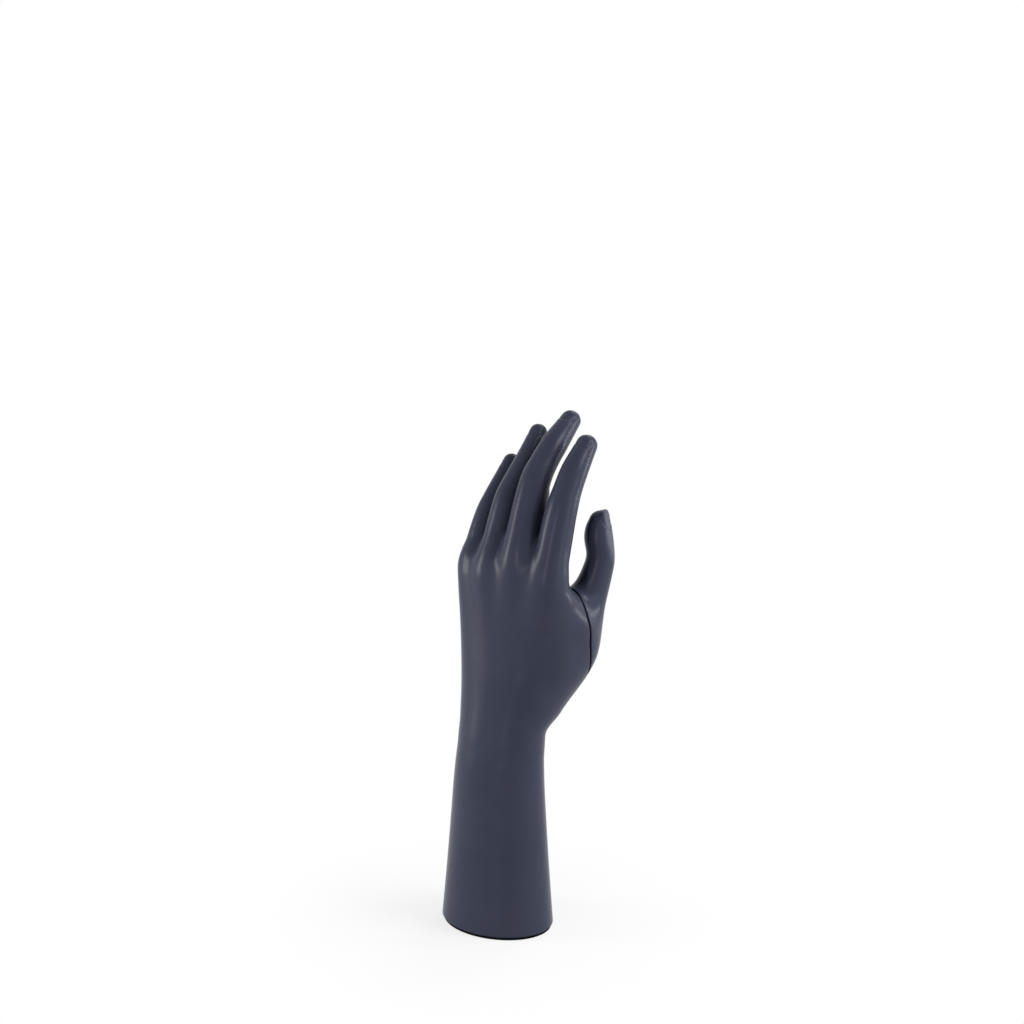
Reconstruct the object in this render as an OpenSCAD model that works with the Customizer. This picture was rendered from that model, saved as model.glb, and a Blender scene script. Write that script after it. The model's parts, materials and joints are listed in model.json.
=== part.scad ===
// Display hand for gloves, rings and watches. A slender left hand stands upright on its forearm.
// Hand and fingers are one hollow casting. The thumb is a second casting that pulls off along the
// normal of the seam across the ball of the thumb, where pins locate it and magnets hold it.
// Lengths are in millimetres and angles in degrees. X points to the thumb side, Y to the palm side
// and Z up. The origin lies under the middle of the foot.

/* [Forearm] */
// Width of the oval foot
foot_width = 71.5; // [64:0.5:80]
// Depth of the oval foot
foot_depth = 57; // [52:0.5:64]
// Width of the wrist
wrist_width = 56; // [50:0.5:62]
// Depth of the wrist
wrist_depth = 42; // [38:0.5:46]
// Height of the wrist above the table
wrist_height = 112; // [100:1:130]
// Straight share of the forearm's taper, where the rest flares toward the foot
forearm_straightness = 0.7; // [0.4:0.05:1]

/* [Palm] */
// Width of the palm's core at its upper end
core_width = 45; // [42:0.5:52]
// Depth of the palm's core at its upper end
core_depth = 19.5; // [18:0.5:25]
// Length of the palm's core above the wrist
core_length = 73; // [64:1:80]
// Knuckle centres across the hand, from index to little finger
knuckle_across = [32.5, 13.5, -6.5, -22.5]; // [-30:0.5:40]
// Knuckle centres toward the palm, from index to little finger
knuckle_forward = [5.5, 4.5, 4.5, 9]; // [0:0.5:14]
// Knuckle centres above the wrist, from index to little finger
knuckle_up = [111, 121, 111.5, 107.5]; // [98:0.5:128]
// Thickness of the palm at the knuckles, from index to little finger
knuckle_thickness = [21.5, 22, 21, 18]; // [16:0.5:25]

/* [Fingers] */
// Lengths of the first bones, from index to little finger
first_bones = [41, 45, 41, 32.5]; // [28:0.5:50]
// Lengths of the second bones, from index to little finger
second_bones = [26, 28.5, 27.5, 20]; // [16:0.5:32]
// Lengths of the end bones, from index to little finger
end_bones = [17, 18.5, 18.5, 16]; // [13:0.5:22]
// Forward bends at the knuckles, from index to little finger
knuckle_bends = [12.5, 18, 20.5, 22]; // [6:0.5:28]
// Forward bends at the middle joints, from index to little finger
middle_bends = [19, 27.5, 19, 18]; // [8:0.5:34]
// Forward bends at the end joints, from index to little finger
end_bends = [14, 13, 4.5, 5.5]; // [0:0.5:20]
// Sideways leans of the first bones toward the thumb, from index to little finger
first_leans = [3, -2.5, 0, -2]; // [-5:0.5:5]
// Sideways leans of the second bones toward the thumb, from index to little finger
second_leans = [1, 5.5, 6, 6]; // [-2:0.5:8]
// Sideways leans of the end bones toward the thumb, from index to little finger
end_leans = [0.5, 2, -1, 2.5]; // [-4:0.5:6]
// Thickness at the roots, from index to little finger
root_girths = [21.4, 21.2, 19, 18.6]; // [15:0.1:23]
// Thickness at the middle joints, from index to little finger
middle_girths = [18.6, 18.4, 17.2, 14]; // [13:0.1:20]
// Thickness at the end joints, from index to little finger
end_girths = [15.4, 15.7, 13.4, 12.2]; // [10:0.1:18]
// Thickness at the fingertips, from index to little finger
tip_girths = [12.7, 12.2, 10.6, 10.8]; // [9:0.1:14]

/* [Thumb] */
// Thumb root across the hand
thumb_across = 20; // [16:0.5:24]
// Thumb root toward the palm
thumb_forward = 13.5; // [10:0.5:18]
// Thumb root above the wrist
thumb_up = 34; // [28:0.5:42]
// Lengths of the thumb's bones: ball, lower, upper and tip
thumb_bones = [32.5, 30.5, 27.5, 23]; // [20:0.5:36]
// Forward bends of the thumb's bones, from the vertical
thumb_bends = [28.5, 19.5, 11.5, 5.5]; // [0:0.5:35]
// Sideways leans of the thumb's bones, away from the hand
thumb_leans = [28, 8, 12.5, -4.5]; // [-10:0.5:32]
// Thickness at the ball of the thumb
ball_girth = 28.5; // [26:0.5:33]
// Thickness at the thumb's lower, upper and tip joints
thumb_girths = [22.5, 17, 15]; // [11:0.5:26]

/* [Nails] */
// Share of the finger's thickness that a nail covers
nail_cover = 0.74; // [0.6:0.02:0.9]
// Length of a fingernail
nail_length = 11; // [8:0.5:13]
// Length of the thumbnail
thumbnail_length = 13; // [10:0.5:15]
// Height of a nail above the skin
nail_rise = 0.4; // [0.2:0.1:0.8]

/* [Seam] */
// Turn of the pull direction from the thumb side toward the palm side
seam_turn = 65; // [55:1:75]
// Upward tilt of the pull direction
seam_tilt = 6; // [0:1:12]
// Distance of the seam above the ball of the thumb, along the bone
seam_up = 9; // [5:0.5:13]
// Gap between the two castings at the seam
seam_gap = 1; // [0.7:0.1:2]

/* [Thumb joint] */
// Length of the joint plates
plate_length = 36; // [34:0.5:38]
// Width of the joint plates
plate_width = 14; // [12:0.5:16]
// Thickness of the joint plates
plate_thickness = 4; // [3.6:0.1:5]
// Gap between the two joint plates
plate_gap = 0.3; // [0.2:0.05:0.6]
// Shift of the plates up the seam from the thumb's bone
plate_rise = 3; // [1:0.5:5]
// Shift of the plates across the seam from the thumb's bone
plate_shift = 3.5; // [1:0.5:5]
// Gap around a plate in its recess
plate_clearance = 0.25; // [0.15:0.05:0.5]
// Diameter of the magnets
magnet_diameter = 9; // [6:0.5:9.5]
// Thickness of the magnets
magnet_thickness = 3; // [2:0.25:3.2]
// Gap around a magnet in its pocket
magnet_clearance = 0.08; // [0.05:0.01:0.2]
// Diameter of the locating pins
pin_diameter = 4; // [3:0.25:4.5]
// Length of pin that stands out of the thumb's plate
pin_reach = 9; // [6:0.5:11]
// Length of pin that is sunk in the thumb behind its plate
pin_root = 3; // [2:0.25:4]
// Gap around a pin that slides in the hand's plate
pin_running_clearance = 0.05; // [0.02:0.01:0.1]
// Gap around a pin in the thumb's plate
pin_seat_clearance = 0.02; // [0.01:0.01:0.05]
// Distance of the pins from the middle of the plate
pin_spacing = 14; // [13.5:0.25:14.5]
// Distance of the plate screws from the middle of the plate
plate_screw_spacing = 8.4; // [8.2:0.1:8.8]
// Shank diameter of the plate screws
plate_screw_diameter = 2.8; // [2:0.1:3]
// Head diameter of the plate screws
plate_screw_head = 5.2; // [4:0.1:5.4]
// Length of the screws in the hand's plate
hand_screw_length = 12; // [8:0.5:14]
// Length of the screws in the thumb's plate
thumb_screw_length = 8; // [6:0.5:9]

/* [Foot] */
// Thickness of the forearm's wall
wall = 4; // [3:0.5:5.5]
// Thickness of the wall around the foot plate
foot_rim = 2.5; // [2:0.1:2.8]
// Thickness of the foot plate
foot_plate_thickness = 6; // [5:0.5:9]
// Gap around the foot plate
foot_plate_clearance = 0.3; // [0.2:0.05:0.6]
// Thickness of the foot pad
pad_thickness = 2; // [1:0.25:4]
// Inset of the foot pad from the foot's edge
pad_inset = 0.6; // [0.3:0.1:1.5]
// Diameter of the screw bosses
boss_diameter = 9; // [7:0.5:11]
// Height of the screw bosses
boss_height = 14; // [12:0.5:20]
// Direction of the screw bosses from the foot's long axis
boss_turn = 40; // [30:1:50]
// Shank diameter of the foot screws
foot_screw_diameter = 3.5; // [2.5:0.1:4]
// Head diameter of the foot screws
foot_screw_head = 7; // [5:0.1:7.5]
// Length of the foot screws
foot_screw_length = 15; // [12:0.5:17]
// Gap around a screw in its hole and countersink
screw_clearance = 0.1; // [0.05:0.05:0.2]

/* [Hidden] */
$fn = 48;

// Surface resolution of the castings
forearm_rings = 8;
palm_rings = 15;
web_rings = 8;
knuckle_rings = 4;
palm_sides = 44;
line_pieces = 3;
finger_sides = 16;
thumb_sides = 24;
web_sides = 16;
cavity_rings = 12;
cavity_sides = 32;
outline_sides = 72;
cut_sides = 20;
fold_sides = 12;
trace_steps = 16;
// Places of the rings that round off the ends of a finger, as shares of its radius
end_shares = [0.4, 0.7, 0.92];

// Colours of the painted castings, of the fittings and of the foot
paint = [0.23, 0.24, 0.31];
plate_metal = [0.78, 0.79, 0.8];
fastener_metal = [0.62, 0.63, 0.65];
magnet_metal = [0.45, 0.46, 0.48];
foot_plastic = [0.16, 0.16, 0.18];
pad_rubber = [0.05, 0.05, 0.06];

// Overlap of cutting solids, so that no faces coincide
eps = 0.5;
far = 200;

// Offsets of the wrist and of the core's upper end from the foot's axis
wrist_centre = [1.2, 0.4];
core_centre = [5.5, 7.5];
wrist_blend = 4;
// Length over which the middle line bends at the wrist
wrist_bending = 30;
// How far below its upper end the core starts to round off, and over what length it runs out
core_end_back = 18;
core_end_length = 36;

// Roots of the palm bones, just above the wrist
carpal_across = [11, 5, -2, -8];
carpal_forward = [3, 2, 2.5, 4];
carpal_up = 10;
carpal_thickness = [22, 24, 23, 20];

// Flesh pads above the wrist, each with its lower and upper end and the radius there
heel_pad = [[-10, 9, 26, 12.5], [-19, 12, 92, 9.5]];
thumb_muscle = [[23, 8, 46, 12], [32, 26, 64, 12.5]];
thumb_ball = [[33, 25, 65, 11], [40, 23.5, 78, 10.5]];
thumb_back = [[31, 14, 62, 10.5], [35, 13, 84, 10]];
thumb_mound = [[16, 16, 54, 12], [24, 25, 86, 11]];
// Web of skin between thumb and index finger, from the back of the hand to the seam
thumb_web = [[37.5, 12, 94, 9], [35, 29, 88, 8.5]];
thumb_pads = [thumb_muscle, thumb_ball, thumb_back, thumb_mound, thumb_web];

// Thickness at the thumb's root, and how it follows along the bones
thumb_root_girth = 34;
waist = 0.98;
pulp = 0.98;
pulp_place = 0.55;
// Sideways lean of the thumb's very tip
tip_lean = 0;

// Length by which a finger's root leads into the palm, and by how much it thins there
root_lead = 18;
root_thinning = 4;
// Folds of skin between the fingers, up from the knuckles
fold_up = 13;
fold_radius = 3.5;

// Height of a nail's edge above the middle of the fingertip, as a share of its radius
nail_edge = 0.3;
// Turn of the thumbnail to the thumb's outer side
thumbnail_turn = 108;
// Flat of the thumb under its nail: height above the middle of the tip, fall toward the tip and rounding
thumbnail_height = 5.1;
thumbnail_tilt = 10;
thumbnail_rounding = 1;

// Widths over which the forms flow into each other
bone_blend = 12;
pad_blend = 9;
thumb_blend = 11;
finger_blend = 5;
// How far a finger's and the thumb's rings spread beyond their own thickness
finger_spread = 3;
thumb_spread = 14;
// How far the hand's and the thumb's skins run on past the seam before they are cut there
seam_run = 7;
// Direction of the thumb around the palm, and how much the ring points crowd toward it
thumb_side = 60;
ring_crowding = 22;
// Shift of the ring centres toward the thumb where it joins the palm
ring_shift = [9, 4];

wrist = [0, 0, wrist_height];
knuckles = [for (i = [0:3]) wrist + [knuckle_across[i], knuckle_forward[i], knuckle_up[i]]];
carpals = [for (i = [0:3]) wrist + [carpal_across[i], carpal_forward[i], carpal_up]];
palm_top = (knuckles[0].z + knuckles[1].z + knuckles[2].z + knuckles[3].z) / 4;

function mix(a, b, t) = a + (b - a) * t;
function unit(v) = v / norm(v);
function clamp01(t) = max(0, min(1, t));
function heading(bend, lean) = [sin(lean) * cos(bend), sin(bend), cos(lean) * cos(bend)];
function place(p) = [p.x, p.y, p.z];

// Smooth minimum of two distances, rounded over the width k
function soft_min(a, b, k) =
    let (h = clamp01(0.5 + (b - a) / (2 * k)))
    b + (a - b) * h - k * h * (1 - h);

// Distance from a tapered bone with round ends
function bone_distance(p, a, b, ra, rb) =
    let (ab = b - a, t = clamp01((p - a) * ab / (ab * ab)))
    norm(p - a - ab * t) - mix(ra, rb, t);

// Smooth curve through stations of the form [x, y, z, radius]
function curve_point(a, b, c, d, t) =
    0.5 * (2 * b + (c - a) * t + (2 * a - 5 * b + 4 * c - d) * t * t + (3 * b - a - 3 * c + d) * t * t * t);
function smooth_line(s) =
    let (
        last = len(s) - 1,
        ends = concat([2 * s[0] - s[1]], s, [2 * s[last] - s[last - 1]])
    )
    concat(
        [for (i = [1:last]) for (j = [0:line_pieces - 1])
            curve_point(ends[i - 1], ends[i], ends[i + 1], ends[i + 2], j / line_pieces)],
        [s[last]]
    );
function line_distance(p, line) =
    min([for (i = [0:len(line) - 2])
        bone_distance(p, place(line[i]), place(line[i + 1]), line[i][3], line[i + 1][3])]);

// Stations that follow a start point by steps, each a length, a bend, a lean and the radius at its end
function stations(start, steps, i = 0) =
    i == len(steps)
    ? [start]
    : let (p = place(start) + steps[i][0] * heading(steps[i][1], steps[i][2]))
        concat([start], stations([p.x, p.y, p.z, steps[i][3]], steps, i + 1));

function finger_stations(i) =
    let (
        first = knuckle_bends[i],
        bend = middle_bends[i],
        second = first + bend,
        root = root_girths[i] / 2,
        middle = middle_girths[i] / 2,
        end = end_girths[i] / 2,
        lean = first_leans[i],
        turn = second_leans[i] - lean,
        lead = knuckles[i] + root_lead * unit(carpals[i] - knuckles[i])
    )
    concat(
        [[lead.x, lead.y, lead.z, root - root_thinning]],
        stations([knuckles[i].x, knuckles[i].y, knuckles[i].z, root], [
            [first_bones[i] / 2, first, lean, waist * (root + middle) / 2],
            [first_bones[i] / 2, first + 0.25 * bend, lean + 0.25 * turn, middle],
            [second_bones[i] / 2, first + 0.75 * bend, lean + 0.75 * turn, waist * (middle + end) / 2],
            [second_bones[i] / 2, second + 0.2 * end_bends[i], lean + turn, end],
            [end_bones[i], second + 0.9 * end_bends[i], end_leans[i], tip_girths[i] / 2]
        ])
    );

thumb_start = wrist + [thumb_across, thumb_forward, thumb_up];
thumb_stations = stations([thumb_start.x, thumb_start.y, thumb_start.z, thumb_root_girth / 2], [
    [thumb_bones[0], thumb_bends[0], thumb_leans[0], ball_girth / 2],
    [thumb_bones[1], thumb_bends[1], thumb_leans[1], thumb_girths[0] / 2],
    [thumb_bones[2], thumb_bends[2], thumb_leans[2], thumb_girths[1] / 2],
    [thumb_bones[3] * pulp_place, thumb_bends[3], thumb_leans[3], pulp * thumb_girths[1] / 2],
    [thumb_bones[3] * (1 - pulp_place), thumb_bends[3], tip_lean, thumb_girths[2] / 2]
]);

finger_lines = [for (i = [0:3]) smooth_line(finger_stations(i))];
thumb_line = smooth_line(thumb_stations);

// Direction along a fingertip and the direction out of its back, turned about the finger
function tip_along(base, tip) = unit(place(tip) - place(base));
function tip_back(base, tip, turn) =
    let (
        along = tip_along(base, tip),
        back = cross(unit([1, 0, 0] - along * along.x), along)
    )
    cos(turn) * back + sin(turn) * cross(along, back);
thumb_pulp = thumb_stations[4];
thumb_end = thumb_stations[5];
thumbnail_back =
    cos(thumbnail_tilt) * tip_back(thumb_pulp, thumb_end, thumbnail_turn)
    + sin(thumbnail_tilt) * tip_along(thumb_pulp, thumb_end);

// A point of the seam and the direction in which the thumb is pulled off
seam_point = place(thumb_stations[1]) + seam_up * heading(thumb_bends[1], thumb_leans[1]);
seam_normal = [cos(seam_turn) * cos(seam_tilt), sin(seam_turn) * cos(seam_tilt), sin(seam_tilt)];

// Height at which the palm's core has run out
core_end = wrist_height + core_length - core_end_back + core_end_length;

// Width or depth of the forearm and the palm's core at a height
function profile(z, foot, wrist, top) =
    let (
        up = max(0, min(core_end, z)),
        u = 1 - up / wrist_height,
        arm = wrist + (foot - wrist) * mix(u * u, u, forearm_straightness),
        hand = wrist + (top - wrist) * (up - wrist_height) / core_length
    )
    soft_min(arm, hand, wrist_blend);

// Oval section of the forearm and the palm's core: half width, half depth and centre
function core(z) =
    let (
        up = clamp01(z / wrist_height),
        t = -soft_min(wrist_height - min(z, core_end), 0, wrist_bending) / core_length
    )
    [
        profile(z, foot_width, wrist_width, core_width) / 2,
        profile(z, foot_depth, wrist_depth, core_depth) / 2,
        wrist_centre * up + (core_centre - wrist_centre) * t
    ];

function core_distance(p) =
    let (
        c = core(p.z),
        end = 1 + (p.z - core_end) / core_end_length,
        share = sqrt(max(0.02, 1 - clamp01(end) * clamp01(end))),
        a = share * c[0],
        b = share * c[1],
        q = [p.x - c[2].x, p.y - c[2].y],
        k0 = norm([q.x / a, q.y / b]) + 0.00001,
        k1 = norm([q.x / (a * a), q.y / (b * b)]) + 0.00001,
        d = k0 * (k0 - 1) / k1,
        over = p.z - core_end
    )
    over > 0 ? norm([max(d, 0), over]) : d;

function palm_bone_distance(p, i) =
    bone_distance(p, carpals[i], knuckles[i], carpal_thickness[i] / 2, knuckle_thickness[i] / 2);
function pad_distance(p, pad) =
    bone_distance(p, wrist + place(pad[0]), wrist + place(pad[1]), pad[0][3], pad[1][3]);

function with_bones(p, d, i = 0) =
    i == len(knuckles) ? d : with_bones(p, soft_min(d, palm_bone_distance(p, i), bone_blend), i + 1);
function with_pads(p, d, pads, i = 0) =
    i == len(pads) ? d : with_pads(p, soft_min(d, pad_distance(p, pads[i]), pad_blend), pads, i + 1);

// Signed distances from the skin of the palm alone, with a finger, with the thumb and with the finger roots
root_lines = [for (line = finger_lines) [for (i = [0:2 * line_pieces]) line[i]]];
palm_skin = function(p) with_pads(p, with_bones(p, core_distance(p)), [heel_pad]);
function finger_skin(i) = function(p) soft_min(palm_skin(p), line_distance(p, finger_lines[i]), finger_blend);
function thumb_distance(p) =
    let (over_flat = (p - place(thumb_end)) * thumbnail_back - thumbnail_height)
    -soft_min(-line_distance(p, thumb_line), -over_flat, thumbnail_rounding);
thumb_skin = function(p)
    soft_min(with_pads(p, palm_skin(p), thumb_pads), thumb_distance(p), thumb_blend);
root_skin = function(p)
    let (d = thumb_skin(p))
    min([for (line = root_lines) soft_min(d, line_distance(p, line), finger_blend)]);

// Distance from an inner point to the skin along a direction, up to a limit
function reach(skin, from, along, limit, r = 0, steps = trace_steps) =
    steps == 0
    ? max(0.2, r)
    : reach(skin, from, along, limit, max(0, min(limit, r - 0.95 * skin(from + along * r))), steps - 1);

// Distance from a point to a plane beside the seam along a direction that runs toward it.
// A positive run lies on the thumb's side of the seam and a negative one on the hand's.
function seam_limit(from, along, run) =
    let (rate = along * seam_normal)
    rate * run > 0 ? max(0.2, (run - (from - seam_point) * seam_normal) / rate) : far;

// Rings of the palm and forearm around the core's axis, closer together at the web of the thumb
web_low = wrist_height + thumb_web[1].z - thumb_web[1][3] / 2;
web_high = wrist_height + thumb_web[0].z + thumb_web[0][3];
function levels(low, high, count) = [for (i = [1:count]) mix(low, high, i / count)];
palm_levels = concat(
    [pad_thickness],
    levels(pad_thickness, wrist_height, forearm_rings),
    levels(wrist_height, web_low, palm_rings),
    levels(web_low, web_high, web_rings),
    levels(web_high, palm_top, knuckle_rings)
);
function palm_ring(z) =
    let (
        c = core(z),
        joined = clamp01((z - wrist_height) / thumb_up) * clamp01((palm_top - z) / (palm_top - web_low)),
        from = [c[2].x + joined * ring_shift.x, c[2].y + joined * ring_shift.y, z],
        skin = z > web_low ? root_skin : thumb_skin
    )
    [for (k = [0:palm_sides - 1])
        let (
            turn = 360 * k / palm_sides,
            a = thumb_side + turn - ring_crowding * sin(turn),
            along = unit([c[0] * cos(a), c[1] * sin(a), 0])
        )
        from + along * reach(skin, from, along, seam_limit(from, along, seam_run))];

// Rings across a line of stations, held back at the seam where a run past it is given
function line_ring(skin, station, along, sides, spread, run) =
    let (
        side = unit([1, 0, 0] - along * along.x),
        front = cross(along, side),
        from = place(station)
    )
    [for (k = [0:sides - 1])
        let (
            a = 360 * k / sides,
            d = side * cos(a) + front * sin(a)
        )
        from + d * reach(skin, from, d, min(station[3] + spread, seam_limit(from, d, run)))];
function line_heading(line, i) =
    let (last = len(line) - 1)
    unit(place(line[min(last, i + 1)]) - place(line[max(0, i - 1)]));
function pad_line(pad) = [for (t = [0:0.25:1]) mix(pad[0], pad[1], t) + [0, 0, wrist_height, 0]];
function moved(station, v) = [station.x + v.x, station.y + v.y, station.z + v.z, station[3]];

module loft(rings, low, high) {
    sides = len(rings[0]);
    last = len(rings) - 1;
    points = concat([for (r = rings) each r], [low, high]);
    low_point = len(points) - 2;
    high_point = len(points) - 1;
    walls = [for (j = [0:last - 1]) for (k = [0:sides - 1])
        let (
            a = j * sides + k,
            b = j * sides + (k + 1) % sides,
            c = b + sides,
            d = a + sides
        )
        each [[a, d, c], [a, c, b]]];
    floor_fan = [for (k = [0:sides - 1]) [low_point, k, (k + 1) % sides]];
    roof_fan = [for (k = [0:sides - 1]) [high_point, last * sides + (k + 1) % sides, last * sides + k]];
    polyhedron(points, concat(walls, floor_fan, roof_fan), 10);
}

// A line of stations clad in skin, with both ends rounded
module limb(line, skin, sides, spread, run = 0) {
    last = len(line) - 1;
    root = line[0];
    tip = line[last];
    start = line_heading(line, 0);
    end = line_heading(line, last);
    shares = len(end_shares) - 1;
    root_rings = [for (i = [shares:-1:0])
        line_ring(skin, moved(root, -end_shares[i] * root[3] * start), start, sides, spread, run)];
    rings = [for (i = [0:last])
        line_ring(skin, line[i], line_heading(line, i), sides, spread, run)];
    tip_rings = [for (i = [0:shares])
        line_ring(skin, moved(tip, end_shares[i] * tip[3] * end), end, sides, spread, run)];
    loft(concat(root_rings, rings, tip_rings), place(root) - root[3] * start, place(tip) + tip[3] * end);
}

module palm() {
    top = core(palm_top)[2];
    rings = [for (z = palm_levels) palm_ring(z)];
    loft(rings, [0, 0, pad_thickness], [top.x, top.y, palm_top + 1]);
}

// Nail on the back of a fingertip: a slightly swollen end bone inside the nail's outline, up to a top height
module nail(base, tip, length, back, top) {
    side = unit(cross(tip_along(base, tip), back));
    along = cross(back, side);
    low = nail_edge * tip[3];
    intersection() {
        hull() {
            translate(place(base))
                sphere(base[3] + nail_rise, $fn = cut_sides);
            translate(place(tip))
                sphere(tip[3] + nail_rise, $fn = cut_sides);
        }
        multmatrix([
            [side.x, along.x, back.x, tip.x],
            [side.y, along.y, back.y, tip.y],
            [side.z, along.z, back.z, tip.z]
        ])
            translate([0, 0, low])
                linear_extrude(top - low)
                    nail_outline(nail_cover * (base[3] + tip[3]), length, tip[3]);
    }
}

module nail_outline(width, length, end) {
    translate([0, end - length + width / 2])
        circle(d = width, $fn = cut_sides);
    translate([-width / 2, end - length + width / 2])
        square([width, length - width / 2]);
}

// Fold of skin between two neighbouring fingers
module fold(i) {
    hull()
        for (j = [i, i + 1])
            for (up = [0, fold_up])
                translate(knuckles[j] + up * heading(knuckle_bends[j], first_leans[j]))
                    sphere(fold_radius, $fn = fold_sides);
}

module hand_form() {
    palm();
    limb(pad_line(thumb_web), thumb_skin, web_sides, finger_spread, seam_run);
    for (i = [0:3]) {
        base = finger_stations(i)[5];
        tip = finger_stations(i)[6];
        limb(finger_lines[i], finger_skin(i), finger_sides, finger_spread);
        nail(base, tip, nail_length, tip_back(base, tip, 0), base[3] + tip[3]);
    }
    for (i = [0:2])
        fold(i);
}

module thumb_form() {
    limb(thumb_line, thumb_skin, thumb_sides, thumb_spread, -seam_run);
    nail(thumb_pulp, thumb_end, thumbnail_length, thumbnail_back, thumbnail_height + nail_rise);
}

// Frame of the seam: its Z axis is the pull direction and its X axis runs up the seam
module at_seam() {
    translate(seam_point)
        rotate([0, 0, seam_turn])
            rotate([0, 90 - seam_tilt, 0])
                rotate([0, 0, 180])
                    children();
}
// The middle of the joint plates, on the hand's side of the seam or on the thumb's
module at_joint(side) {
    at_seam()
        translate([plate_rise, plate_shift, side * plate_gap / 2])
            mirror([0, 0, side < 0 ? 1 : 0])
                children();
}

// The thumb's side of the seam. Above the thumb's upper joint it starts further out, clear of the fingers.
block_step_up = thumb_stations[3].z - seam_point.z;
block_step_out = 0.4 * (place(thumb_end) - seam_point) * seam_normal;
block_top = thumb_end.z + 2 * thumb_end[3] - seam_point.z;
block_half = foot_width;
module thumb_block(offset) {
    at_seam() {
        translate([-block_half, -block_half, offset])
            cube([block_half + block_step_up, 2 * block_half, block_half]);
        translate([0, -block_half, block_step_out])
            cube([block_top, 2 * block_half, block_half + offset - block_step_out]);
    }
}

module stadium(length, width) {
    square([length - width, width], center = true);
    for (s = [-1, 1])
        translate([s * (length - width) / 2, 0])
            circle(d = width);
}

// Countersunk screw with its head's face at z = 0, pointing up
module countersunk_screw(shank, head, length, grow) {
    cone = (head - shank) / 2;
    translate([0, 0, -eps * sign(grow)])
        cylinder(d = head + 2 * grow, h = 0.4 + eps * sign(grow));
    translate([0, 0, 0.4])
        cylinder(d1 = head + 2 * grow, d2 = shank + 2 * grow, h = cone);
    cylinder(d = shank + 2 * grow, h = length + grow);
}

module plate_screws(length, grow) {
    for (s = [-1, 1])
        translate([s * plate_screw_spacing, 0, 0])
            countersunk_screw(plate_screw_diameter, plate_screw_head, length, grow);
}

module pin_holes(clearance, from, to) {
    for (s = [-1, 1])
        translate([s * pin_spacing, 0, from])
            cylinder(d = pin_diameter + 2 * clearance, h = to - from);
}

// A joint plate, with its face at z = 0 and its body above
module joint_plate(pin_clearance) {
    difference() {
        linear_extrude(plate_thickness)
            stadium(plate_length, plate_width);
        translate([0, 0, -eps])
            cylinder(d = magnet_diameter + 2 * magnet_clearance, h = magnet_thickness + eps);
        pin_holes(pin_clearance, -eps, plate_thickness + eps);
        plate_screws(far, screw_clearance);
    }
}

// What a joint plate takes out of its casting
module joint_cuts(screw_length, pin_depth) {
    translate([0, 0, -far])
        linear_extrude(far + plate_thickness)
            stadium(plate_length + 2 * plate_clearance, plate_width + 2 * plate_clearance);
    pin_holes(plate_clearance, 0, pin_depth + plate_clearance, $fn = cut_sides);
    plate_screws(screw_length, 2 * screw_clearance, $fn = cut_sides);
}

module oval(z, inset, sides = outline_sides) {
    c = core(z);
    polygon([for (k = [0:sides - 1])
        let (a = 360 * k / sides)
        [(c[0] - inset) * cos(a) + c[2].x, (c[1] - inset) * sin(a) + c[2].y]]);
}

// Hollow of the forearm and palm, open at the foot
cavity_bottom = pad_thickness + foot_plate_thickness;
cavity_top = wrist_height + core_length;
module cavity() {
    rings = [for (i = [0:cavity_rings])
        let (
            z = mix(cavity_bottom - 1, cavity_top - wall, i / cavity_rings),
            c = core(z)
        )
        [for (k = [0:cavity_sides - 1])
            let (a = 360 * k / cavity_sides)
            [(c[0] - wall) * cos(a) + c[2].x, (c[1] - wall) * sin(a) + c[2].y, z]]];
    top = core(cavity_top)[2];
    loft(rings, [0, 0, cavity_bottom - 1], [top.x, top.y, cavity_top - wall + 1]);
}

module foot_pocket() {
    translate([0, 0, -eps])
        linear_extrude(pad_thickness + foot_plate_thickness + eps)
            oval(pad_thickness + foot_plate_thickness, foot_rim);
}

// Places of the four foot screws, just inside the wall
boss_section = core(cavity_bottom + boss_height);
boss_inset = wall + boss_diameter / 2 - 1;
boss_places = [for (turn = [boss_turn, 180 - boss_turn, 180 + boss_turn, -boss_turn])
    [(boss_section[0] - boss_inset) * cos(turn) + boss_section[2].x,
        (boss_section[1] - boss_inset) * sin(turn) + boss_section[2].y]];

module foot_bosses() {
    intersection() {
        for (p = boss_places)
            hull() {
                translate([p.x, p.y, cavity_bottom])
                    cylinder(d = boss_diameter, h = boss_height, $fn = cut_sides);
                translate([p.x * 1.15, p.y * 1.15, cavity_bottom])
                    cylinder(d = boss_diameter, h = boss_height + boss_diameter / 2, $fn = cut_sides);
            }
        translate([0, 0, cavity_bottom])
            linear_extrude(far)
                oval(cavity_bottom + boss_height + boss_diameter, wall / 2);
    }
}

module foot_screw_set(grow) {
    for (p = boss_places)
        translate([p.x, p.y, pad_thickness])
            countersunk_screw(foot_screw_diameter, foot_screw_head, foot_screw_length, grow);
}

module hand_shell() {
    color(paint)
        difference() {
            union() {
                difference() {
                    hand_form();
                    cavity();
                }
                foot_bosses();
            }
            foot_pocket();
            foot_screw_set(2 * screw_clearance, $fn = cut_sides);
            thumb_block(-seam_gap / 2);
            at_joint(-1)
                joint_cuts(hand_screw_length, pin_reach + plate_gap);
        }
}

module thumb_shell() {
    color(paint)
        difference() {
            intersection() {
                thumb_form();
                thumb_block(seam_gap / 2);
            }
            at_joint(1)
                joint_cuts(thumb_screw_length, plate_thickness + pin_root);
        }
}

module hand_joint_plate() {
    color(plate_metal)
        at_joint(-1)
            joint_plate(pin_running_clearance);
}

module thumb_joint_plate() {
    color(plate_metal)
        at_joint(1)
            joint_plate(pin_seat_clearance);
}

module magnet() {
    cylinder(d = magnet_diameter, h = magnet_thickness);
}

module hand_magnet() {
    color(magnet_metal)
        at_joint(-1)
            magnet();
}

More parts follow.
